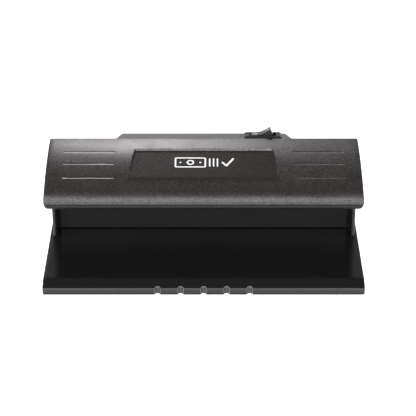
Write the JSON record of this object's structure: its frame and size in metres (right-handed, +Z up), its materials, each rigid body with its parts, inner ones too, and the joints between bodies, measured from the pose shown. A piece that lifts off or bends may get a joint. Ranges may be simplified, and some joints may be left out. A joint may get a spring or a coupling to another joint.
{
  "type": "counterfeit bill detector",
  "caption": "Counter-top ultraviolet banknote checker: a flat viewing base under a curved lamp hood on a rear housing, with a mains rocker switch on top and an inlet socket behind.",
  "frame": {"origin": "on the counter, under the centre of the object's outer box", "axes": "+Z up; the user stands at -Y and looks along +Y; +X to the user's right, towards the switch"},
  "size_m": [0.262, 0.125, 0.0952],
  "materials": {
    "textured_cover": "fine-grained charcoal plastic",
    "smooth_black": "smooth dark moulded plastic",
    "housing_black": "satin black moulded plastic",
    "switch_black": "semi-gloss black nylon",
    "rubber": "matt black rubber",
    "steel": "zinc-plated steel",
    "brass": "bright",
    "aluminium": "bright rolled sheet",
    "white_plastic": "white heat-resistant plastic",
    "uv_glass": "dark violet filter glass",
    "laminate": "green glass-fibre board",
    "ferrite": "dark sintered ferrite",
    "copper": "enamelled copper wire",
    "capacitor_sleeve": "dark blue sleeve",
    "film_yellow": "yellow film capacitor case",
    "wire_red": "red wire insulation",
    "wire_blue": "blue wire insulation",
    "wire_white": "white wire insulation"
  },
  "bodies": {
    "body": {"base_tray": "smooth_black", "bottom_plate": "housing_black", "rear_housing": "housing_black", "power_inlet": "switch_black", "inlet_pin_left": "brass", "inlet_pin_right": "brass", "lamp_tray": "housing_black", "hood_cover": "textured_cover", "reflector": "aluminium", "circuit_board": "laminate", "choke_core": "ferrite", "choke_winding": "copper", "storage_capacitor": "capacitor_sleeve", "film_capacitor_left": "film_yellow", "film_capacitor_right": "film_yellow", "fuse": "white_plastic", "mains_terminal": "white_plastic", "lamp_terminal": "white_plastic", "switch_body": "switch_black", "centre_terminal": "brass", "end_terminal": "brass", "live_wire": "wire_red", "switched_live_wire": "wire_red", "neutral_wire": "wire_blue", "foot_front_left": "rubber", "foot_rear_left": "rubber", "base_screw_front_left": "steel", "base_screw_rear_left": "steel", "hood_screw_front_left": "steel", "hood_screw_rear_left": "steel", "board_screw_left": "steel", "lampholder_left": "white_plastic", "lamp_lead_left": "wire_white", "foot_front_right": "rubber", "foot_rear_right": "rubber", "base_screw_front_right": "steel", "base_screw_rear_right": "steel", "hood_screw_front_right": "steel", "hood_screw_rear_right": "steel", "board_screw_right": "steel", "lampholder_right": "white_plastic", "lamp_lead_right": "wire_white"},
    "rocker": {"rocker_paddle": "switch_black", "rocker_plunger": "brass", "rocker_pivot_pin": "steel"},
    "contact": {"contact_blade": "brass"},
    "lamp": {"uv_tube": "uv_glass", "tube_cap_left": "aluminium", "lampholder_rotor_left": "white_plastic", "tube_cap_right": "aluminium", "lampholder_rotor_right": "white_plastic", "tube_pin_left_front": "brass", "tube_pin_left_rear": "brass", "tube_pin_right_front": "brass", "tube_pin_right_rear": "brass"}
  },
  "joints": [
    {"name": "rocker_tilt", "type": "hinge", "parent": "body", "child": "rocker", "pos_m": [0.04995, 0.05195, 0.08557], "axis": [0, 0.9863, -0.165], "range_deg": [0, 35]},
    {"name": "contact_tilt", "type": "hinge", "parent": "body", "child": "contact", "pos_m": [0.04995, 0.05057, 0.07732], "axis": [0, 0.9863, -0.165], "range_deg": [-16, 0]},
    {"name": "lamp_turn", "type": "hinge", "parent": "body", "child": "lamp", "pos_m": [0, 0.0105, 0.0702], "axis": [1, 0, 0], "range_deg": [0, 90]}
  ],
  "couplings": [
    {"joint": "contact_tilt", "follows": "rocker_tilt", "ratio": -0.457}
  ]
}
